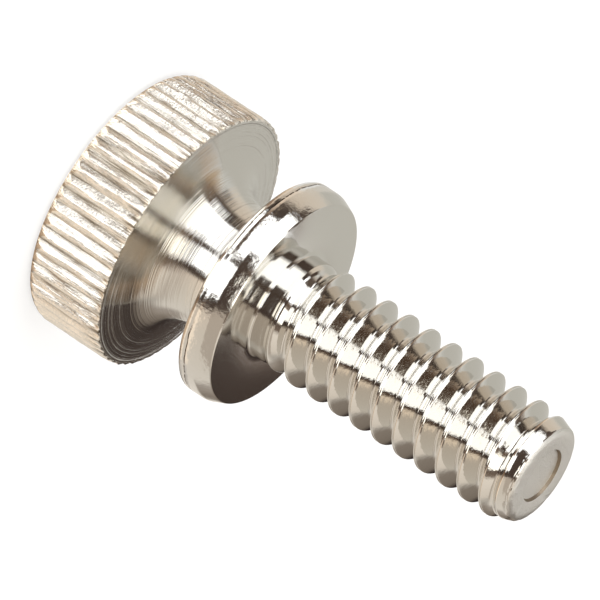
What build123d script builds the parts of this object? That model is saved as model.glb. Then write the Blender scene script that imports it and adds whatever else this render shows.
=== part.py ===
import math
import os

from build123d import *

# Thumb screw, one turned and thread-rolled piece. It stands on its head: the axis is Z,
# the middle of the head's flat top is the origin, and the thread points up. Millimetres.

# Head with a straight knurl
head_diameter = 11.15
head_height = 3.62
head_top_edge_drop = 0.36
head_top_edge_inset = 0.28
knurl_teeth = 58
knurl_depth = 0.18
knurl_groove_width = 0.42

# Neck: a flat rim, a slightly conical underside, then one long hollow curve to a short straight
underside_rim = 0.35
underside_rise = 0.36
neck_flare_diameter = 6.9
neck_diameter = 5.16
neck_length = 3.25
neck_straight = 1.12

# Flange
flange_diameter = 9.4
flange_thickness = 1.47
flange_back_edge = 0.16
flange_shoulder_length = 0.5
flange_shoulder_drop = 0.2
flange_root_flare = 0.16

# Thread: 24 turns to the inch on a number 10 shank, right-hand
thread_diameter = 4.8
thread_pitch = 1.0583
thread_length = 12.7
thread_depth_share = 0.613
thread_crest_share = 0.125
thread_flank_angle = 30

# Plain lands at both ends of the thread, where the rolled crest has not filled up
land_drop = 0.14
runout_land = 0.5
runout_length = 1.7
end_ring = 0.22
end_chamfer = 0.42
end_chamfer_inset = 0.44
cup_rim_diameter = 2.3
cup_floor_diameter = 2.2
cup_depth = 0.14

# How far hidden surfaces run into the solid beside them
overrun = 0.1

# Radii and heights that follow from the sizes above
head_radius = head_diameter / 2
neck_radius = neck_diameter / 2
flare_radius = neck_flare_diameter / 2
flange_radius = flange_diameter / 2
crest_radius = thread_diameter / 2
thread_depth = thread_depth_share * thread_pitch
root_radius = crest_radius - thread_depth
sunk_radius = root_radius - overrun
land_radius = crest_radius - land_drop
groove_mouth = knurl_groove_width * (knurl_depth + overrun) / knurl_depth
flange_back = head_height + neck_length
flange_front = flange_back + flange_thickness
tip = flange_front + thread_length
end_ring_top = tip - end_chamfer
end_ring_start = end_ring_top - end_ring


def ridge_half_width(radius):
    # half the axial width of the thread ridge where it passes this radius
    crest_half = thread_crest_share * thread_pitch / 2
    return crest_half + (crest_radius - radius) * math.tan(math.radians(thread_flank_angle))


with BuildPart() as thumb_screw:
    # Thread core, from inside the flange to inside the end ring
    with BuildSketch(Plane.XY.offset(flange_back)):
        Circle(root_radius)
    extrude(amount=end_ring_top - flange_back)

    # Rolled ridge, one right-hand helix that starts at the flange face
    with BuildLine(Plane.XY.offset(flange_front)) as ridge_path:
        Helix(thread_pitch, end_ring_start - flange_front - ridge_half_width(root_radius), root_radius)
    with BuildSketch(Plane.XZ) as ridge_section:
        with BuildLine():
            Polyline(
                (sunk_radius, flange_front - ridge_half_width(sunk_radius)),
                (crest_radius, flange_front - ridge_half_width(crest_radius)),
                (crest_radius, flange_front + ridge_half_width(crest_radius)),
                (sunk_radius, flange_front + ridge_half_width(sunk_radius)),
                close=True,
            )
        make_face()
    sweep(path=ridge_path.wires()[0], is_frenet=True)

    # The crest rises from the land by the flange and sinks to the land at the end, a pitch each
    with BuildSketch(Plane.XZ) as crest_envelope:
        with BuildLine():
            Polyline(
                (0, flange_back),
                (land_radius, flange_back),
                (land_radius, flange_front + runout_land),
                (crest_radius + overrun, flange_front + runout_land + thread_pitch),
                (crest_radius + overrun, end_ring_start - thread_pitch),
                (land_radius, end_ring_start),
                (land_radius, tip),
                (0, tip),
                close=True,
            )
        make_face()
    revolve(axis=Axis.Z, mode=Mode.INTERSECT)

    # Head, neck, flange and run-out in one turned section
    with BuildSketch(Plane.XZ) as turned_section:
        with BuildLine():
            neck_flare = (flare_radius, head_height + underside_rise)
            neck_end = (neck_radius, flange_back - neck_straight)
            runout_end = flange_front + runout_land + runout_length
            Polyline(
                (0, 0),
                (head_radius - head_top_edge_inset, 0),
                (head_radius, head_top_edge_drop),
                (head_radius, head_height),
                (head_radius - underside_rim, head_height),
                neck_flare,
            )
            TangentArc(neck_end, neck_flare, tangent=(0, -1))
            Polyline(
                neck_end,
                (neck_radius, flange_back),
                (flange_radius - flange_back_edge, flange_back),
                (flange_radius, flange_back + flange_back_edge),
                (flange_radius, flange_front - flange_shoulder_length),
                (flange_radius - flange_shoulder_drop, flange_front),
                (land_radius + flange_root_flare, flange_front),
                (land_radius, flange_front + flange_root_flare),
                (land_radius, flange_front + runout_land),
                (sunk_radius, runout_end),
                (0, runout_end),
                (0, 0),
            )
        make_face()
    revolve(axis=Axis.Z)

    # End of the screw: the last turn closes in a ring, chamfered outside and cupped inside
    with BuildSketch(Plane.XZ) as end_section:
        with BuildLine():
            cup_floor = tip - cup_depth
            Polyline(
                (0, end_ring_start - thread_pitch),
                (sunk_radius, end_ring_start - thread_pitch),
                (land_radius, end_ring_start),
                (land_radius, end_ring_top),
                (land_radius - end_chamfer_inset, tip),
                (cup_rim_diameter / 2, tip),
                (cup_floor_diameter / 2, cup_floor),
                (0, cup_floor),
                close=True,
            )
        make_face()
    revolve(axis=Axis.Z)

    # Straight knurl: V grooves along the head that run out at both rims
    with BuildSketch() as knurl_grooves:
        with PolarLocations(head_radius, knurl_teeth):
            Polygon((-knurl_depth, 0), (overrun, -groove_mouth / 2), (overrun, groove_mouth / 2), align=None)
    extrude(amount=head_height + underside_rise, mode=Mode.SUBTRACT)

thumb_screw.part.label = "thumb_screw"

os.makedirs("parts", exist_ok=True)
export_step(thumb_screw.part, "parts/thumb_screw.step")
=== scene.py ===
import bpy
import math
import random
from mathutils import Matrix, Vector, noise


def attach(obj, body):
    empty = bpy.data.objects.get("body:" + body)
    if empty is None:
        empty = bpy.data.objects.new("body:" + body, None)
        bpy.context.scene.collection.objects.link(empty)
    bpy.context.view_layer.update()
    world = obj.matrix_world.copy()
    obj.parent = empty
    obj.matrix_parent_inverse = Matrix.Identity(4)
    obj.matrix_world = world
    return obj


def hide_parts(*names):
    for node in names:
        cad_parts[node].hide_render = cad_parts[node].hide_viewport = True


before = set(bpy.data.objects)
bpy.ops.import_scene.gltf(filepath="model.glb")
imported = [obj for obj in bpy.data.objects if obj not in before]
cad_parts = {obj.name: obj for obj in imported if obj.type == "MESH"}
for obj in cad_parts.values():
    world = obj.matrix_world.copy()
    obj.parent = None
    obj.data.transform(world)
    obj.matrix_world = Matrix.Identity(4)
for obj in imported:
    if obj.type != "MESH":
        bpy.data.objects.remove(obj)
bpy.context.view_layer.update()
mm = 0.001
micron = 0.001 * mm
random.seed(58)


# small tools

def startProfile(name, point):          # a plane pulled together to the first point of a turned section
    bpy.ops.object.select_all(action="DESELECT")
    bpy.ops.mesh.primitive_plane_add(size=mm)
    piece = bpy.context.object
    piece.name = name
    piece.data.name = name
    bpy.ops.object.mode_set(mode="EDIT")
    bpy.ops.mesh.select_all(action="SELECT")
    bpy.ops.mesh.merge(type="CENTER")
    bpy.ops.transform.translate(value=(point[0] * mm, 0, point[1] * mm))
    return piece


def runProfile(points):                 # edge after edge, radius along x and height along z
    for (r0, z0), (r1, z1) in zip(points, points[1:]):
        bpy.ops.mesh.extrude_region_move(
            TRANSFORM_OT_translate={"value": ((r1 - r0) * mm, 0, (z1 - z0) * mm)})


def wind(piece, steps, rise=0.0, turns=1):  # spins the section round z, climbing by rise each turn
    bpy.ops.object.mode_set(mode="OBJECT")
    winding = piece.modifiers.new("winding", "SCREW")
    winding.axis = "Z"
    winding.angle = 2 * math.pi
    winding.screw_offset = rise * mm
    winding.iterations = turns
    winding.steps = steps
    winding.render_steps = steps
    bpy.ops.object.modifier_apply(modifier=winding.name)
    bpy.ops.object.mode_set(mode="EDIT")
    bpy.ops.mesh.select_all(action="SELECT")
    bpy.ops.mesh.remove_doubles(threshold=micron)


def roundCorner(before, corner, after, steps):  # points of a bend from one neighbour of a corner to the other
    points = []
    for i in range(steps + 1):
        t = i / steps
        a, b, c = (1 - t) ** 2, 2 * t * (1 - t), t * t
        points.append(tuple(a * p + b * q + c * s for p, q, s in zip(before, corner, after)))
    return points


def cornerAt(r, z, offsets, steps):     # the same, by offsets from one point of the section
    return roundCorner(*[(r + dr, z + dz) for dr, dz in offsets], steps)


def smoothStep(low, high, x):
    t = min(1, max(0, (x - low) / (high - low)))
    return t * t * (3 - 2 * t)


def toLinear(hexColour):                # sRGB hex to linear
    out = []
    for i in (1, 3, 5):
        c = int(hexColour[i:i + 2], 16) / 255
        out.append(c / 12.92 if c <= 0.04045 else ((c + 0.055) / 1.055) ** 2.4)
    return (*out, 1)


def addNode(tree, kind, settings=None, links=None, stops=None):   # a setting is a property or a socket's value
    node = tree.nodes.new(kind)
    for key, value in (settings or {}).items():
        if isinstance(key, str) and hasattr(node, key):
            setattr(node, key, value)
        else:
            node.inputs[key].default_value = value
    for key, socket in (links or {}).items():
        tree.links.new(socket, node.inputs[key])
    if stops:                            # colour ramp: share along it and hex colour
        ends = node.color_ramp.elements
        ends.remove(ends[1])
        ends[0].position, ends[0].color = stops[0][0], toLinear(stops[0][1])
        for place, colour in stops[1:]:
            ends.new(place).color = toLinear(colour)
    return node


# head, neck and flange: one turned section, spun, then knurled

turned = {
    "segmentsPerTooth": 12,
    "teeth": 58,
    "headRadius": 5.575, "headHeight": 3.62,
    "topRings": (0, 2.6, 4.9),
    "topEdge": [(-0.46, 0), (-0.10, 0.04), (0, 0.50)],
    "sideRows": 24,
    "rimEdge": [(0, -0.10), (0, 0), (-0.16, 0)],
    "underRings": [(5.25, 0.004), (5.1, 0.03)],
    "coneRadius": 3.45, "coneHeight": 3.98, "coneSlope": 0.20, "coneBlend": 0.5,
    "neckRadius": 2.58, "neckHeight": 5.75, "neckSteps": 21, "blendStep": 6, "neckFoot": 0.14,
    "flangeBack": 6.87, "flangeFront": 8.34, "flangeRadius": 4.70,
    "backRound": 0.20, "shoulderDrop": 0.26,
    "shoulderEdge": [(0, -0.72), (0, -0.60), (-0.05, -0.48)],
    "faceEdge": [(0.03, -0.06), (0.005, 0), (-0.05, 0.001)],
    "crown": 0.05, "crownRadius": 2.56,
    "burrLine": 7.22, "burrNotch": [(0, -0.025), (-0.006, 0), (0, 0.03), (0, 0.18)],
    "landRadius": 2.26, "landHeight": 8.50, "landRound": 0.16, "landGap": 0.01,
}

knurl = {
    "depth": 0.175, "depthSpread": 0.035,
    "crestRound": 0.16,
    "shift": 0.05,                       # share of a tooth that grooves wander to the side
    "drift": 0.05, "driftRate": 1.1,     # and how they wander along the head
    "depthDrift": 0.30, "depthRate": 0.9,
    "lump": 0.014, "lumpLength": 0.7, "lumpWidth": 0.11,
    "fineShare": 0.6, "fineAcross": 2.1, "fineAlong": 3.2,   # smaller lumps on the lumps
    "lumpFrom": 0.05, "lumpFull": 0.5, "lumpRim": 0.2,       # they fade out at both rims
    "rimWear": 0.06, "rimUneven": 0.4, "rimChips": 9,
    "rimLength": 0.30, "rimFill": 0.55,
    "inside": 5.2, "above": 0.02,        # the cutter leaves a smaller radius alone, and what is past the rim
    "crestDrop": 0.012,
}


def turnedSection(s):
    top, height = s["headRadius"], s["headHeight"]
    points = [(r, 0) for r in s["topRings"]]
    points += cornerAt(top, 0, s["topEdge"], steps=7)
    low, high = s["topEdge"][2][1], height + s["rimEdge"][0][1]
    rows = s["sideRows"]
    points += [(top, low + (high - low) * i / rows) for i in range(1, rows + 1)]
    points += cornerAt(top, height, s["rimEdge"], steps=4)[1:]
    points += [(r, height + rise) for r, rise in s["underRings"]]
    cone, neck, foot = s["coneRadius"], s["neckRadius"], s["neckHeight"]
    wide, tall = cone - neck, foot - s["coneHeight"]
    hollow = (wide * wide + tall * tall) / (2 * wide)   # radius of the neck's hollow curve
    sweep = math.asin(tall / hollow)
    curve = []
    for i in range(s["neckSteps"] + 1):
        turn = sweep * (1 - i / s["neckSteps"])
        curve.append((neck + hollow * (1 - math.cos(turn)), foot - hollow * math.sin(turn)))
    blend, joined = s["coneBlend"], s["blendStep"]      # the underside runs into the neck without an edge
    start = (cone + blend, s["coneHeight"] - s["coneSlope"] * blend)
    points += roundCorner(start, curve[0], curve[joined], steps=10)
    points += curve[joined + 1:]
    back, front, rim = s["flangeBack"], s["flangeFront"], s["flangeRadius"]
    small, large = s["neckFoot"], s["backRound"]
    points += cornerAt(neck, back, [(0, -small), (0, 0), (small, 0)], steps=4)
    points += cornerAt(rim, back, [(-large, 0), (0, 0), (0, large)], steps=5)
    points += [(rim + dr, s["burrLine"] + dz) for dr, dz in s["burrNotch"]]
    points += cornerAt(rim, front, s["shoulderEdge"], steps=6)
    points += cornerAt(rim - s["shoulderDrop"], front, s["faceEdge"], steps=5)
    land, crown = s["landRadius"], front + s["crown"]
    points.append((s["crownRadius"], crown))
    last = (land, s["landHeight"] - s["landGap"])       # the bridge to the thread closes this gap
    points += roundCorner((land + s["landRound"], crown), (land, crown), last, steps=4)
    return points


section = turnedSection(turned)
screw = startProfile("thumbScrew", section[0])
runProfile(section)
wind(screw, turned["teeth"] * turned["segmentsPerTooth"])
bpy.ops.object.mode_set(mode="OBJECT")
print("turned section spun", len(screw.data.vertices))

# each groove's own wander, depth and noise
grooves = [{"shift": random.uniform(-1, 1), "depth": random.uniform(-1, 1), "seed": random.uniform(0, 50)}
           for tooth in range(turned["teeth"])]


def knurlRadius(angle, z):               # V teeth with rounded crests, each groove a little different
    place = angle / (2 * math.pi) * turned["teeth"]
    tooth = int(math.floor(place)) % turned["teeth"]
    u = place - math.floor(place)
    left, right = grooves[tooth], grooves[(tooth + 1) % turned["teeth"]]
    wander = knurl["shift"] * (left["shift"] * (1 - u) + right["shift"] * u)
    wander += knurl["drift"] * noise.noise(Vector((left["seed"], z * knurl["driftRate"], 3)))
    u = min(1, max(0, u + wander * 4 * u * (1 - u)))
    valley = abs(2 * u - 1)
    soft = knurl["crestRound"]
    valley = (math.sqrt(valley * valley + soft * soft) - soft) / (math.sqrt(1 + soft * soft) - soft)
    side = left if u < 0.5 else right
    deep = knurl["depth"] + knurl["depthSpread"] * side["depth"] * valley
    deep *= 1 + knurl["depthDrift"] * noise.noise(Vector((side["seed"], z * knurl["depthRate"], 9))) * valley
    return turned["headRadius"] - deep * valley


def knurlLumps(angle, z, radius):        # plating lumps that run along the teeth
    across, along = angle * radius / knurl["lumpWidth"], z / knurl["lumpLength"]
    lump = noise.noise(Vector((across, along, 0.5)))
    across, along = across * knurl["fineAcross"], along * knurl["fineAlong"]
    lump += knurl["fineShare"] * noise.noise(Vector((across, along, 7.5)))
    return knurl["lump"] * lump


headRim = turned["headHeight"]
for vertex in screw.data.vertices:       # the third number of a noise vector only picks a slice of the noise
    x, y, z = (c / mm for c in vertex.co)
    radius = math.hypot(x, y)
    if radius < knurl["inside"] or z > headRim + knurl["above"]:
        continue
    angle = math.atan2(y, x) % (2 * math.pi)
    tooth = knurlRadius(angle, z)
    wear = smoothStep(headRim - knurl["rimLength"], headRim, z)
    tooth += (turned["headRadius"] - tooth) * wear * knurl["rimFill"]   # grooves run out at the underside
    fade = smoothStep(knurl["lumpFrom"], knurl["lumpFull"], z)
    fade *= smoothStep(headRim, headRim - knurl["lumpRim"], z)
    tooth += knurlLumps(angle, z, radius) * fade - knurl["crestDrop"]
    chips = noise.noise(Vector((angle * knurl["rimChips"], 1, 4)))
    tooth -= knurl["rimWear"] * wear * (1 - knurl["rimUneven"] + knurl["rimUneven"] * chips)
    if tooth < radius:
        vertex.co.x *= tooth / radius
        vertex.co.y *= tooth / radius
print("knurl cut", turned["teeth"])

# rolled thread: one pitch of its section, screwed up the shank

thread = {
    "pitch": 1.0583, "crestRadius": 2.40, "rootRadius": 1.751,
    "crestHalf": 0.072,                  # then share of it and drop: the seam, its edge, the crest, its lip
    "crestShape": [(0, 0.026), (0.3, 0.0091), (0.62, 0), (0.86, 0.002), (1, 0.014)],
    "flankShares": (0.12, 0.3, 0.5, 0.7, 0.9),
    "rootShape": [(0.10, 0.05), (0.045, 0.01), (0, 0)],      # from the root's middle, and over the root
    "steps": 96, "turns": 15, "sunkTurns": 2,
    "runoutFrom": 0.50, "runoutTo": 1.95,
    "end": 20.93, "endRadius": 2.08, "endSlope": 0.36,
    "closeFrom": 1.05, "closeTo": 0.30,
    "ragged": 0.034, "raggedFrom": 20.86, "raggedRadius": 1.6,
    "coarse": 2.6, "fine": 7, "fineShare": 0.5,              # bumps to the millimetre
    "raggedAll": 0.6, "sunk": 0.5, "sunkAll": 0.5,           # all round, and more of it towards the lip
    "lipTowards": (0.94, -0.34), "lipFrom": 0.2, "lipMore": 1.2, "lipCut": 0.02,
    "endSteps": [(2.05, 20.97), (1.98, 21.005), (1.86, 21.030), (1.78, 21.038), (1.70, 21.038), (1.20, 21.038),
                 (1.16, 21.036), (1.15, 21.025), (1.12, 20.915), (1.10, 20.90), (1.04, 20.90), (0.5, 20.90)],
}


def threadSection(s):
    crest, root, half = s["crestRadius"], s["rootRadius"], s["crestHalf"]
    top = [(half * share, crest - drop) for share, drop in s["crestShape"]]
    bottom = [(s["pitch"] / 2 - aside, root + rise) for aside, rise in s["rootShape"]]
    (lipZ, lipR), (footZ, footR) = top[-1], bottom[0]
    flank = [(lipZ + (footZ - lipZ) * t, lipR + (footR - lipR) * t) for t in s["flankShares"]]
    side = top + flank + bottom          # from the crest's middle to the root's middle
    return [(r, -z) for z, r in reversed(side[1:])] + [(r, z) for z, r in side]


base = turned["flangeFront"] - thread["sunkTurns"] * thread["pitch"]
section = [(r, z + base) for r, z in threadSection(thread)]
shank = startProfile("shank", section[0])
runProfile(section)
wind(shank, thread["steps"], thread["pitch"], thread["turns"])
for height, below in ((turned["landHeight"], True), (thread["end"], False)):   # cut off square at both ends
    bpy.ops.mesh.select_all(action="SELECT")
    bpy.ops.mesh.bisect(plane_co=(0, 0, height * mm), plane_no=(0, 0, 1), clear_inner=below, clear_outer=not below,
                        threshold=0.5 * micron)
bpy.ops.object.mode_set(mode="OBJECT")
print("thread wound", len(shank.data.vertices))

land, front = turned["landRadius"], turned["flangeFront"]
for vertex in shank.data.vertices:       # the thread runs out to the flange and closes into a ring at the end
    x, y, z = (c / mm for c in vertex.co)
    radius = math.hypot(x, y)
    full = smoothStep(front + thread["runoutFrom"], front + thread["runoutTo"], z)
    new = land + (radius - land) * full
    limit = thread["endRadius"] + (thread["end"] - z) * thread["endSlope"]   # the blunt taper at the end
    closing = smoothStep(thread["end"] - thread["closeTo"], thread["end"] - thread["closeFrom"], z)
    new = limit + (new - limit) * closing if new < limit else limit
    vertex.co.x *= new / radius
    vertex.co.y *= new / radius

bpy.ops.object.mode_set(mode="EDIT")
bpy.ops.mesh.select_mode(type="VERT")
bpy.ops.mesh.select_all(action="DESELECT")
bpy.ops.object.mode_set(mode="OBJECT")
for vertex in shank.data.vertices:
    vertex.select = vertex.co.z > thread["end"] * mm - 0.6 * micron
bpy.ops.object.mode_set(mode="EDIT")
size, level = thread["endRadius"], thread["end"]
for newSize, newLevel in thread["endSteps"]:   # the rim's edge, the rim, the cup's wall, its floor
    bpy.ops.mesh.extrude_region_move(TRANSFORM_OT_translate={"value": (0, 0, (newLevel - level) * mm)})
    bpy.ops.transform.resize(value=(newSize / size, newSize / size, 1), center_override=(0, 0, newLevel * mm))
    size, level = newSize, newLevel
bpy.ops.mesh.edge_face_add()
bpy.ops.object.mode_set(mode="OBJECT")
for vertex in shank.data.vertices:       # the sheared end is a little ragged, most on one side
    x, y, z = (c / mm for c in vertex.co)
    radius = math.hypot(x, y)
    if z < thread["raggedFrom"] or radius < thread["raggedRadius"]:
        continue
    lipX, lipY = thread["lipTowards"]
    lip = smoothStep(thread["lipFrom"], 1, (x * lipX + y * lipY) / radius)
    coarse, fine = thread["coarse"], thread["fine"]
    ragged = noise.noise(Vector((x * coarse, y * coarse, 5)))
    ragged += thread["fineShare"] * noise.noise(Vector((x * fine, y * fine, 2)))
    spread = thread["ragged"] * (thread["raggedAll"] + thread["lipMore"] * lip)
    new = radius + spread * ragged - thread["lipCut"] * lip
    vertex.co.x *= new / radius
    vertex.co.y *= new / radius
    vertex.co.z -= thread["sunk"] * thread["ragged"] * abs(ragged) * (thread["sunkAll"] + lip) * mm
print("screw end cupped")

# the two halves become one closed shell
sharpFrom = 38                           # degrees, a steeper edge stays sharp
bpy.ops.object.select_all(action="DESELECT")
shank.select_set(True)
screw.select_set(True)
bpy.context.view_layer.objects.active = screw
bpy.ops.object.join()
bpy.ops.object.mode_set(mode="EDIT")
bpy.ops.mesh.select_mode(type="EDGE")
bpy.ops.mesh.select_all(action="DESELECT")
bpy.ops.mesh.select_non_manifold()
bpy.ops.mesh.bridge_edge_loops()
bpy.ops.mesh.select_all(action="SELECT")
bpy.ops.mesh.normals_make_consistent(inside=False)
bpy.ops.object.mode_set(mode="OBJECT")
bpy.ops.object.shade_smooth_by_angle(angle=math.radians(sharpFrom))
print("one shell", len(screw.data.vertices), "vertices", len(screw.data.polygons), "faces")


# nickel plate: warm grey white metal that mirrors the studio, in the six finishes its making left

plate = {
    "colour": "#DEDCD7",
    "knurl": "#F0ECE4",
    # the two darker colours are painted shade: in the knurl's grooves and by its rim, round the cup's wall at the
    # end, and in the crease of the flange's burr line
    "paintedShade": "#8E8272",
    "burrShade": "#5E5248",
    "knurled": {"roughness": 0.20, "streak": 0.060, "streakLong": 1.2, "streakDeep": 0.021,
                # grooveFrom and grooveTo place the painted shade in the grooves, and the two heights after them the
                # painted shade by the rim
                "grain": 0.10, "grainDeep": 0.011, "grooveFrom": 5.41, "grooveTo": 5.48,
                "rimShadeFrom": 2.75, "rimShadeTo": 3.35, "inside": 5.1},
    "turned": {"roughness": 0.13, "drag": 1.0, "ring": 0.14, "ringDeep": 0.018,
               "scratch": 0.06, "scratchDeep": 0.006, "patch": 1.4},
    "faced": {"roughness": 0.10, "grain": 0.30, "grainDeep": 0.0008, "slack": 0.004, "edge": 0.01},
    "rim": {"roughness": 0.10, "wave": 0.75, "waveDeep": 0.022, "grain": 0.12, "grainDeep": 0.005,
            # the burr numbers place the burr line and the painted shade along it
            "burrWide": 0.030, "burrWander": 0.16, "burrFrom": 2.3, "burrTo": 2.9},
    "rolled": {"roughness": 0.08, "grain": 0.15, "grainDeep": 0.0034, "from": 8.45, "within": 2.5},
    # wall and wallWide place the painted shade round the cup's wall
    "sheared": {"roughness": 0.40, "grain": 0.10, "grainDeep": 0.016, "wall": 1.135, "wallWide": 0.028,
                "from": 20.95, "cupFrom": 20.85, "cupWithin": 1.3},
}


def nickel(name, finish):                # the plate's own colour, with one finish's roughness
    material = bpy.data.materials.new(name)
    material.use_nodes = True
    tree = material.node_tree
    shader = tree.nodes["Principled BSDF"]
    shader.inputs["Base Color"].default_value = toLinear(plate["colour"])
    shader.inputs["Metallic"].default_value = 1
    shader.inputs["Roughness"].default_value = finish["roughness"]
    where = addNode(tree, "ShaderNodeTexCoord").outputs["Object"]
    return material, tree, shader, where


# knurl: rough cut, with streaks along the teeth and grainy plate on the ridges; painted shade darkens broken lines in
# the grooves and spots on the teeth by the underside rim
finish = plate["knurled"]
knurled, tree, shader, where = nickel("nickel plate over a cut knurl", finish)
axes = addNode(tree, "ShaderNodeSeparateXYZ", links={0: where})
angle = addNode(tree, "ShaderNodeMath", {"operation": "ARCTAN2"}, {0: axes.outputs["Y"], 1: axes.outputs["X"]})
across = addNode(tree, "ShaderNodeMath", {"operation": "MULTIPLY", 1: turned["headRadius"] / finish["streak"]},
                 {0: angle.outputs[0]})
along = addNode(tree, "ShaderNodeMath", {"operation": "MULTIPLY", 1: 1 / (finish["streakLong"] * mm)},
                {0: axes.outputs["Z"]})
unrolled = addNode(tree, "ShaderNodeCombineXYZ", links={0: across.outputs[0], 1: along.outputs[0]})
streaks = addNode(tree, "ShaderNodeTexNoise", {"Scale": 1.0, "Detail": 3.0}, {"Vector": unrolled.outputs[0]})
grain = addNode(tree, "ShaderNodeTexNoise", {"Scale": 1 / (finish["grain"] * mm), "Detail": 3.0}, {"Vector": where})
lines = addNode(tree, "ShaderNodeBump", {"Strength": 1.0, "Distance": finish["streakDeep"] * mm},
                {"Height": streaks.outputs[0]})
bump = addNode(tree, "ShaderNodeBump", {"Strength": 1.0, "Distance": finish["grainDeep"] * mm},
               {"Height": grain.outputs[0], "Normal": lines.outputs[0]})
tree.links.new(bump.outputs[0], shader.inputs["Normal"])
flat = addNode(tree, "ShaderNodeVectorMath", {"operation": "MULTIPLY", 1: (1, 1, 0)}, {0: where})
radius = addNode(tree, "ShaderNodeVectorMath", {"operation": "LENGTH"}, {0: flat.outputs[0]})
# painted shade: the deepest part of each groove is mixed towards the darker colour, in broken patches
groove = addNode(tree, "ShaderNodeMapRange",
                 {"From Min": finish["grooveFrom"] * mm, "From Max": finish["grooveTo"] * mm,
                  "To Min": 1.0, "To Max": 0.0}, {0: radius.outputs["Value"]})
broken = addNode(tree, "ShaderNodeTexNoise", {"Scale": 0.4, "Detail": 5.0, "Roughness": 0.65},
                 {"Vector": unrolled.outputs[0]})
patches = addNode(tree, "ShaderNodeMapRange", {"From Min": 0.4, "From Max": 0.62}, {0: broken.outputs[0]})
lined = addNode(tree, "ShaderNodeMath", {"operation": "MULTIPLY"}, {0: groove.outputs[0], 1: patches.outputs[0]})
# painted shade: dark spots on the teeth towards the underside rim
atRim = addNode(tree, "ShaderNodeMapRange",
                {"From Min": finish["rimShadeFrom"] * mm, "From Max": finish["rimShadeTo"] * mm}, {0: axes.outputs["Z"]})
spots = addNode(tree, "ShaderNodeMapRange", {"From Min": 0.50, "From Max": 0.62}, {0: broken.outputs[0]})
rimShade = addNode(tree, "ShaderNodeMath", {"operation": "MULTIPLY"}, {0: atRim.outputs[0], 1: spots.outputs[0]})
# the two painted shade masks together set how far the knurl's colour goes dark
knurlShade = addNode(tree, "ShaderNodeMath", {"operation": "MAXIMUM"}, {0: lined.outputs[0], 1: rimShade.outputs[0]})
colour = addNode(tree, "ShaderNodeMix",
                 {"data_type": "RGBA", 6: toLinear(plate["knurl"]), 7: toLinear(plate["paintedShade"])},
                 {"Factor": knurlShade.outputs[0]})
tree.links.new(colour.outputs[2], shader.inputs["Base Color"])

# neck and underside: rings from the lathe tool drag reflections into streaks
# real ones are finer, and these are drawn coarse enough to show
finish = plate["turned"]
turnedNickel, tree, shader, where = nickel("nickel plate over turned steel", finish)
axes = addNode(tree, "ShaderNodeSeparateXYZ", links={0: where})
flat = addNode(tree, "ShaderNodeVectorMath", {"operation": "MULTIPLY", 1: (1, 1, 0)}, {0: where})
radius = addNode(tree, "ShaderNodeVectorMath", {"operation": "LENGTH"}, {0: flat.outputs[0]})
along = addNode(tree, "ShaderNodeMath", {"operation": "SUBTRACT"}, {0: axes.outputs["Z"], 1: radius.outputs["Value"]})
rings = addNode(tree, "ShaderNodeTexNoise",
                {"noise_dimensions": "1D", "Scale": 1 / (finish["ring"] * mm), "Detail": 2.0, "Roughness": 0.6},
                {"W": along.outputs[0]})
scratches = addNode(tree, "ShaderNodeTexNoise",
                    {"noise_dimensions": "1D", "Scale": 1 / (finish["scratch"] * mm), "Detail": 1.0},
                    {"W": along.outputs[0]})
patch = addNode(tree, "ShaderNodeTexNoise", {"Scale": 1 / (finish["patch"] * mm), "Detail": 1.0}, {"Vector": where})
worn = addNode(tree, "ShaderNodeMapRange", {"From Min": 0.3, "From Max": 0.7, "To Min": 0.55}, {0: patch.outputs[0]})
cut = addNode(tree, "ShaderNodeMath", {"operation": "MULTIPLY"}, {0: rings.outputs[0], 1: worn.outputs[0]})
fine = addNode(tree, "ShaderNodeBump", {"Strength": 1.0, "Distance": finish["scratchDeep"] * mm},
               {"Height": scratches.outputs[0]})
bump = addNode(tree, "ShaderNodeBump", {"Strength": 1.0, "Distance": finish["ringDeep"] * mm},
               {"Height": cut.outputs[0], "Normal": fine.outputs[0]})
tree.links.new(bump.outputs[0], shader.inputs["Normal"])
shader.inputs["Anisotropic"].default_value = finish["drag"]
shader.inputs["Anisotropic Rotation"].default_value = 0.25   # spread across the rings, not along them
rounds = addNode(tree, "ShaderNodeTangent", {"direction_type": "RADIAL", "axis": "Z"})
tree.links.new(rounds.outputs[0], shader.inputs["Tangent"])

# flange faces: faced and plated bright, a near mirror with faint orange peel
finish = plate["faced"]
faced, tree, shader, where = nickel("bright nickel plate on the faced flange", finish)
grain = addNode(tree, "ShaderNodeTexNoise", {"Scale": 1 / (finish["grain"] * mm), "Detail": 2.0}, {"Vector": where})
bump = addNode(tree, "ShaderNodeBump", {"Strength": 1.0, "Distance": finish["grainDeep"] * mm},
               {"Height": grain.outputs[0]})
tree.links.new(bump.outputs[0], shader.inputs["Normal"])

# flange rim: formed, not cut, so its mirror is wavy and speckled, with a burr line on two sides whose broken dark
# colour is painted shade in its crease
finish = plate["rim"]
rimmed, tree, shader, where = nickel("bright nickel plate on the formed rim", finish)
wave = addNode(tree, "ShaderNodeTexNoise", {"Scale": 1 / (finish["wave"] * mm), "Detail": 2.0}, {"Vector": where})
grain = addNode(tree, "ShaderNodeTexNoise", {"Scale": 1 / (finish["grain"] * mm), "Detail": 3.0}, {"Vector": where})
waves = addNode(tree, "ShaderNodeBump", {"Strength": 1.0, "Distance": finish["waveDeep"] * mm},
                {"Height": wave.outputs[0]})
bump = addNode(tree, "ShaderNodeBump", {"Strength": 1.0, "Distance": finish["grainDeep"] * mm},
               {"Height": grain.outputs[0], "Normal": waves.outputs[0]})
tree.links.new(bump.outputs[0], shader.inputs["Normal"])
axes = addNode(tree, "ShaderNodeSeparateXYZ", links={0: where})
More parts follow.
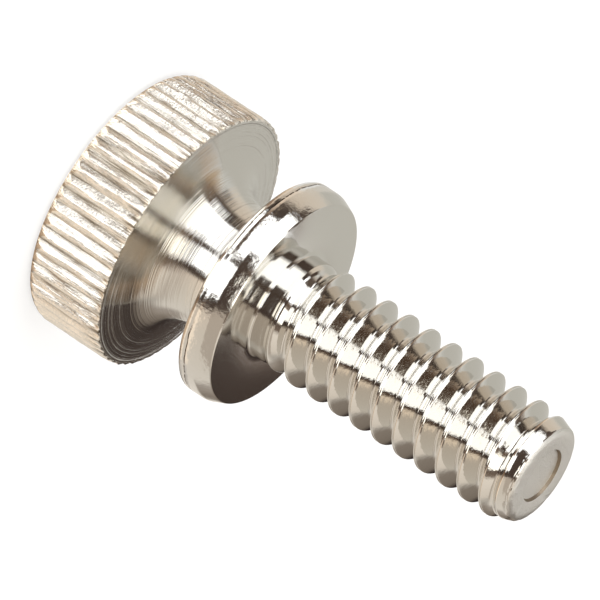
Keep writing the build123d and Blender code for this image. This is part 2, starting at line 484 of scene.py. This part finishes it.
# painted shade: a thin dark line along the burr's notch, broken up by noise and shown only on two sides
lowest = turned["burrLine"] - finish["burrWander"] / 2
drift = addNode(tree, "ShaderNodeMath",
                {"operation": "MULTIPLY_ADD", 1: finish["burrWander"] * mm, 2: lowest * mm}, {0: wave.outputs[0]})
onLine = addNode(tree, "ShaderNodeMath", {"operation": "COMPARE", 2: finish["burrWide"] * mm},
                 {0: axes.outputs["Z"], 1: drift.outputs[0]})
aside = addNode(tree, "ShaderNodeMath", {"operation": "ABSOLUTE"}, {0: axes.outputs["X"]})
sides = addNode(tree, "ShaderNodeMapRange", {"From Min": finish["burrFrom"] * mm, "From Max": finish["burrTo"] * mm},
                {0: aside.outputs[0]})
broken = addNode(tree, "ShaderNodeMapRange", {"From Min": 0.36, "From Max": 0.50}, {0: grain.outputs[0]})
shown = addNode(tree, "ShaderNodeMath", {"operation": "MULTIPLY"}, {0: sides.outputs[0], 1: broken.outputs[0]})
burrShade = addNode(tree, "ShaderNodeMath", {"operation": "MULTIPLY"}, {0: onLine.outputs[0], 1: shown.outputs[0]})
colour = addNode(tree, "ShaderNodeMix",
                 {"data_type": "RGBA", 6: toLinear(plate["colour"]), 7: toLinear(plate["burrShade"])},
                 {"Factor": burrShade.outputs[0]})
tree.links.new(colour.outputs[2], shader.inputs["Base Color"])

# thread: pressed smooth by the rolling dies, with small pits
finish = plate["rolled"]
rolled, tree, shader, where = nickel("bright nickel plate on the rolled thread", finish)
grain = addNode(tree, "ShaderNodeTexNoise", {"Scale": 1 / (finish["grain"] * mm), "Detail": 3.0}, {"Vector": where})
bump = addNode(tree, "ShaderNodeBump", {"Strength": 1.0, "Distance": finish["grainDeep"] * mm},
               {"Height": grain.outputs[0]})
tree.links.new(bump.outputs[0], shader.inputs["Normal"])

# screw end: sheared off and plated over, a dull satin grey, with painted shade as a dark line round the wall of the
# cup
finish = plate["sheared"]
sheared, tree, shader, where = nickel("satin nickel plate on the sheared end", finish)
grain = addNode(tree, "ShaderNodeTexNoise", {"Scale": 1 / (finish["grain"] * mm), "Detail": 3.0}, {"Vector": where})
bump = addNode(tree, "ShaderNodeBump", {"Strength": 1.0, "Distance": finish["grainDeep"] * mm},
               {"Height": grain.outputs[0]})
tree.links.new(bump.outputs[0], shader.inputs["Normal"])
flat = addNode(tree, "ShaderNodeVectorMath", {"operation": "MULTIPLY", 1: (1, 1, 0)}, {0: where})
radius = addNode(tree, "ShaderNodeVectorMath", {"operation": "LENGTH"}, {0: flat.outputs[0]})
# painted shade: the cup's wall is mixed towards the darker colour all round
wall = addNode(tree, "ShaderNodeMath", {"operation": "COMPARE", 1: finish["wall"] * mm, 2: finish["wallWide"] * mm},
               {0: radius.outputs["Value"]})
colour = addNode(tree, "ShaderNodeMix",
                 {"data_type": "RGBA", 6: toLinear(plate["colour"]), 7: toLinear(plate["paintedShade"])},
                 {"Factor": wall.outputs[0]})
tree.links.new(colour.outputs[2], shader.inputs["Base Color"])

finishes = (knurled, turnedNickel, rimmed, faced, rolled, sheared)
for material in finishes:
    screw.data.materials.append(material)
endFinish, threadFinish, faceFinish = plate["sheared"], plate["rolled"], plate["faced"]
faceEdge = turned["flangeRadius"] - turned["shoulderDrop"] - faceFinish["edge"]
backEdge = turned["flangeRadius"] - turned["backRound"]
for face in screw.data.polygons:
    radius = math.hypot(face.center.x, face.center.y) / mm
    z = face.center.z / mm
    if z > endFinish["from"] or (z > endFinish["cupFrom"] and radius < endFinish["cupWithin"]):
        coat = sheared
    elif z > threadFinish["from"] and radius < threadFinish["within"]:
        coat = rolled
    elif z > turned["flangeFront"] - faceFinish["slack"] and radius < faceEdge:
        coat = faced
    elif abs(z - turned["flangeBack"]) < faceFinish["edge"] and radius < backEdge:
        coat = faced
    elif z > turned["flangeBack"]:
        coat = rimmed
    elif z < turned["headHeight"] and radius > plate["knurled"]["inside"]:
        coat = knurled
    else:
        coat = turnedNickel
    face.material_index = finishes.index(coat)
print("plated in", len(finishes), "finishes")

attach(screw, "root")
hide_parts("thumb_screw")


# camera: the photograph's side, from above the screw's end, rolled so that the screw points down and right

shot = {
    "elevation": 21.9, "roll": 123.5,
    "target": (-0.49, 0, 8.77),
    "width": 23.04, "distance": 507, "sensor": 36,
}
lift, roll = math.radians(shot["elevation"]), math.radians(shot["roll"])
looking = Vector((0, math.cos(lift), -math.sin(lift)))
upright, sideways = Vector((0, math.sin(lift), math.cos(lift))), Vector((1, 0, 0))
right = sideways * math.cos(roll) + upright * math.sin(roll)
up = upright * math.cos(roll) - sideways * math.sin(roll)
cameraData = bpy.data.cameras.new("camera")
camera = bpy.data.objects.new("camera", cameraData)
bpy.context.scene.collection.objects.link(camera)
cameraData.sensor_width = shot["sensor"]
cameraData.lens = shot["sensor"] * shot["distance"] / shot["width"]
place = Vector(shot["target"]) * mm - looking * shot["distance"] * mm
turn = Matrix((right, up, -looking)).transposed().to_4x4()
camera.matrix_world = Matrix.Translation(place) @ turn
cameraData.clip_start, cameraData.clip_end = 0.01, 10
bpy.context.scene.camera = camera

# floor, lamp and the studio round the screw, in metres and watts

stage = {
    "floorSize": 3, "paper": "#F6F6F6", "ownWhite": 0.68,    # share of the floor's white that takes no shadow
    "boxSize": 0.5, "boxHeight": 0.5, "boxPower": 1.35,
}

bpy.ops.object.select_all(action="DESELECT")
bpy.ops.mesh.primitive_plane_add(size=stage["floorSize"])
floor = bpy.context.object
floor.name = "floor"
paper = bpy.data.materials.new("white paper floor")   # matt, evenly white, with a soft shadow under the head
paper.use_nodes = True
tree = paper.node_tree
tree.nodes.clear()
sheet = addNode(tree, "ShaderNodeBsdfDiffuse", {"Color": toLinear(stage["paper"])})
glow = addNode(tree, "ShaderNodeEmission", {"Color": toLinear("#FFFFFF"), "Strength": 1.0})
rays = addNode(tree, "ShaderNodeLightPath")
share = addNode(tree, "ShaderNodeMath", {"operation": "MULTIPLY", 1: stage["ownWhite"]},
                {0: rays.outputs["Is Camera Ray"]})
seen = addNode(tree, "ShaderNodeMixShader", links={0: share.outputs[0], 1: sheet.outputs[0], 2: glow.outputs[0]})
addNode(tree, "ShaderNodeOutputMaterial", links={"Surface": seen.outputs[0]})
floor.data.materials.append(paper)
floor.visible_glossy = False             # polished metal shows the studio's own lower half instead

lamp = bpy.data.lights.new("overhead softbox", "AREA")
lamp.shape = "RECTANGLE"
lamp.size, lamp.size_y = stage["boxSize"], stage["boxSize"]
lamp.energy = stage["boxPower"]
softbox = bpy.data.objects.new("overhead softbox", lamp)
softbox.location = (0, 0, stage["boxHeight"])
softbox.visible_glossy = False
bpy.context.scene.collection.objects.link(softbox)

studio = {
    "strength": 2.1,
    # upright cards in a fan, by the angle they have round a line behind the screw, in degrees, 0 towards the camera
    "low": [(-90, "#9A9893"), (-70, "#A19D96"), (-60, "#A69D92"), (-48, "#A2978A"), (-43, "#3E3630"),
            (-33.5, "#322A25"), (-31.5, "#FFFFFF"), (-7.5, "#FFFFFF"), (-6.7, "#3A302A"), (-2.7, "#3A302A"),
            (-2, "#FFFFFF"), (14, "#FFFFFF"), (15, "#322A25"), (21, "#3A302A"), (23.5, "#A59A8E"),
            (37.5, "#A49C92"), (60, "#A8A29A"), (90, "#ACA69E")],
    # the same cards where they bend over the screw
    "high": [(-90, "#8E8C87"), (-66, "#969796"), (-52, "#A6A49F"), (-47, "#857C74"), (-43, "#463C35"),
             (-34, "#463C35"), (-32, "#FFFFFF"), (-8, "#FFFFFF"), (-6, "#524439"), (-1, "#524439"),
             (1, "#FFFAF0"), (15, "#FFFAF0"), (17, "#463A32"), (24, "#5E5248"), (28, "#B4ACA2"),
             (50, "#A8A096"), (57, "#8A857E"), (90, "#7A746E")],
    # the same fan far below, as the head's underside sees it by way of the flange's back
    "under": [(-90, "#AC9F8F"), (-52, "#A8957F"), (-44, "#7A6656"), (-36, "#6A5646"), (-32, "#FFFAF0"),
              (-9, "#FFFAF0"), (-6, "#6A5646"), (-1, "#6A5646"), (1, "#FFF4E2"), (13, "#FFF4E2"),
              (17, "#5A4838"), (24, "#6A5646"), (30, "#A08A74"), (46, "#94806C"), (52, "#6E5E50"),
              (62, "#7A6A5C"), (90, "#6A5A4C")],
    # a narrow shelf above the horizon on the camera's side, by the same fan
    "shelf": [(-90, "#A4A29C"), (-66, "#A4A29C"), (-60, "#3A302A"), (-43, "#3A302A"), (-38, "#FFFFFF"),
              (-13, "#FFFFFF"), (-11, "#3A302A"), (19, "#352B26"), (22, "#8E8479"), (55, "#8A8279"),
              (90, "#7A746D")],
    # azimuth from the camera's side round to +x, in degrees: the table round the screw
    "deep": [(-180, "#B7B8BA"), (-125, "#B0AFAC"), (-118, "#B4A99C"), (-88, "#B0A090"), (-66, "#564639"),
             (-54, "#42342A"), (-17, "#42342A"), (-12, "#FFFFFF"), (34, "#FFFFFF"), (37, "#3E3028"),
             (44, "#4A3C32"), (50, "#CABBAA"), (112, "#C2B6A8"), (124, "#9A9590"), (154, "#8A857E"),
             (163, "#3A322C"), (178, "#2A2420"), (180, "#6A655F")],
    # sideways share of a direction towards the back wall
    "back": [(-1, "#93918B"), (-0.014, "#93918B"), (0.006, "#5C514A"), (0.03, "#332B27"), (0.24, "#241E1C"),
             (0.36, "#5C544C"), (0.50, "#665E56"), (0.62, "#766E66"), (1, "#8A8580")],
}

edges = {                                # where cards give way to the next: a direction's axis, from, to
    "toHigh": ("Z", 0.12, 0.45),
    "overEdge": ("Z", 0.48, 0.45), "underEdge": ("Z", 0.17, 0.215), "toFront": ("Y", 0.42, 0.25),
    "toWall": ("Y", 0.53, 0.66), "overTable": ("Z", -0.30, -0.20),
    "toDeep": ("Z", -0.395, -0.41), "toUnder": ("Z", -0.565, -0.585),
}
wallEdges = {"right": (26, 36), "left": (-42, -54)}   # the back wall's parts in the fan, in degrees

world = bpy.data.worlds.new("studio")
bpy.context.scene.world = world
world.use_nodes = True
tree = world.node_tree
tree.nodes.clear()
direction = addNode(tree, "ShaderNodeTexCoord")
axes = addNode(tree, "ShaderNodeSeparateXYZ", links={0: direction.outputs["Generated"]})
towards = addNode(tree, "ShaderNodeMath", {"operation": "MULTIPLY", 1: -1.0}, {0: axes.outputs["Y"]})
azimuth = addNode(tree, "ShaderNodeMath", {"operation": "ARCTAN2"}, {0: axes.outputs["X"], 1: towards.outputs[0]})
around = addNode(tree, "ShaderNodeMapRange", {"From Min": -math.pi, "From Max": math.pi}, {0: azimuth.outputs[0]})
fromBehind = addNode(tree, "ShaderNodeMath", {"operation": "ADD", 1: math.cos(lift)}, {0: towards.outputs[0]})
fanned = addNode(tree, "ShaderNodeMath", {"operation": "ARCTAN2"}, {0: axes.outputs["X"], 1: fromBehind.outputs[0]})
fan = addNode(tree, "ShaderNodeMapRange", {"From Min": -math.pi / 2, "From Max": math.pi / 2}, {0: fanned.outputs[0]})
across = addNode(tree, "ShaderNodeMapRange", {"From Min": -1.0, "From Max": 1.0}, {0: axes.outputs["X"]})
cards = {}
for name, spread, span in (("low", fan, 180), ("high", fan, 180), ("under", fan, 180), ("shelf", fan, 180),
                           ("deep", around, 360), ("back", across, 2)):
    cards[name] = addNode(tree, "ShaderNodeValToRGB", links={0: spread.outputs[0]},
                          stops=[(place / span + 0.5, colour) for place, colour in studio[name]])
fade = {}
for name, (axis, start, full) in edges.items():
    fade[name] = addNode(tree, "ShaderNodeMapRange", {"From Min": start, "From Max": full}, {0: axes.outputs[axis]})
for name, (start, full) in wallEdges.items():
    fade[name] = addNode(tree, "ShaderNodeMapRange",
                         {"From Min": math.radians(start), "From Max": math.radians(full)}, {0: fanned.outputs[0]})
for name, operation, parts in (("outside", "ADD", ("left", "right")),
                               ("toBack", "MULTIPLY", ("toWall", "outside", "overTable")),
                               ("toShelf", "MULTIPLY", ("overEdge", "underEdge", "toFront"))):
    fade[name] = fade[parts[0]]
    for part in parts[1:]:
        fade[name] = addNode(tree, "ShaderNodeMath", {"operation": operation},
                             {0: fade[name].outputs[0], 1: fade[part].outputs[0]})
whole = cards["low"].outputs[0]
for name, factor in (("high", "toHigh"), ("shelf", "toShelf"), ("back", "toBack"), ("deep", "toDeep"),
                     ("under", "toUnder")):
    layer = addNode(tree, "ShaderNodeMix", {"data_type": "RGBA"},
                    {"Factor": fade[factor].outputs[0], 6: whole, 7: cards[name].outputs[0]})
    whole = layer.outputs[2]
studioLight = addNode(tree, "ShaderNodeBackground", {"Strength": studio["strength"]}, {"Color": whole})
white = addNode(tree, "ShaderNodeBackground", {"Strength": 1.0, "Color": (1, 1, 1, 1)})
rays = addNode(tree, "ShaderNodeLightPath")
seen = addNode(tree, "ShaderNodeMixShader",
               links={0: rays.outputs["Is Camera Ray"], 1: studioLight.outputs[0], 2: white.outputs[0]})
addNode(tree, "ShaderNodeOutputWorld", links={"Surface": seen.outputs[0]})
bpy.context.scene.view_settings.view_transform = "Standard"
print("stage set")
